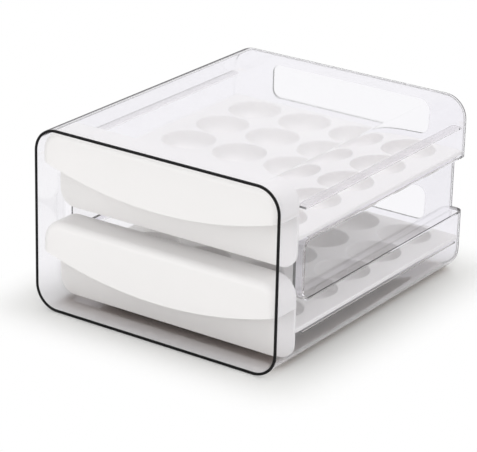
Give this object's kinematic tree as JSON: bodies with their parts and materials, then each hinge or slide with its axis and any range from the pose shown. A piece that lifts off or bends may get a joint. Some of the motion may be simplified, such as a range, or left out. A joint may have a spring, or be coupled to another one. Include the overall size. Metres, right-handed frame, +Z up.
{
  "type": "egg storage box",
  "caption": "Clear two-tier egg storage box with two white pull-out drawers, each moulded with round egg cups.",
  "frame": {"origin": "centre of the footprint, on the surface that the box stands on", "axes": "+Z up, -Y out of the drawer mouth, +X to the right seen from the front"},
  "size_m": [0.2508, 0.3, 0.1664],
  "materials": {
    "clear_plastic": "clear and glossy",
    "black_line": "satin",
    "white_plastic": "satin"
  },
  "bodies": {
    "case": {"case": "clear_plastic", "rim_trim": "black_line"},
    "lower_drawer": {"lower_front": "white_plastic", "lower_tray": "white_plastic", "lower_cup_1_1": "white_plastic", "lower_cup_1_2": "white_plastic", "lower_cup_1_3": "white_plastic", "lower_cup_1_4": "white_plastic", "lower_cup_2_1": "white_plastic", "lower_cup_2_2": "white_plastic", "lower_cup_2_3": "white_plastic", "lower_cup_2_4": "white_plastic", "lower_cup_3_1": "white_plastic", "lower_cup_3_2": "white_plastic", "lower_cup_3_3": "white_plastic", "lower_cup_3_4": "white_plastic", "lower_cup_4_1": "white_plastic", "lower_cup_4_2": "white_plastic", "lower_cup_4_3": "white_plastic", "lower_cup_4_4": "white_plastic", "lower_cup_5_1": "white_plastic", "lower_cup_5_2": "white_plastic", "lower_cup_5_3": "white_plastic", "lower_cup_5_4": "white_plastic"},
    "upper_drawer": {"upper_front": "white_plastic", "upper_tray": "white_plastic", "upper_cup_1_1": "white_plastic", "upper_cup_1_2": "white_plastic", "upper_cup_1_3": "white_plastic", "upper_cup_1_4": "white_plastic", "upper_cup_2_1": "white_plastic", "upper_cup_2_2": "white_plastic", "upper_cup_2_3": "white_plastic", "upper_cup_2_4": "white_plastic", "upper_cup_3_1": "white_plastic", "upper_cup_3_2": "white_plastic", "upper_cup_3_3": "white_plastic", "upper_cup_3_4": "white_plastic", "upper_cup_4_1": "white_plastic", "upper_cup_4_2": "white_plastic", "upper_cup_4_3": "white_plastic", "upper_cup_4_4": "white_plastic", "upper_cup_5_1": "white_plastic", "upper_cup_5_2": "white_plastic", "upper_cup_5_3": "white_plastic", "upper_cup_5_4": "white_plastic"}
  },
  "joints": [
    {"name": "upper_drawer_slide", "type": "slide", "parent": "case", "child": "upper_drawer", "axis": [0, -1, 0], "range_m": [0, 0.22]},
    {"name": "lower_drawer_slide", "type": "slide", "parent": "case", "child": "lower_drawer", "axis": [0, -1, 0], "range_m": [0, 0.22]}
  ]
}
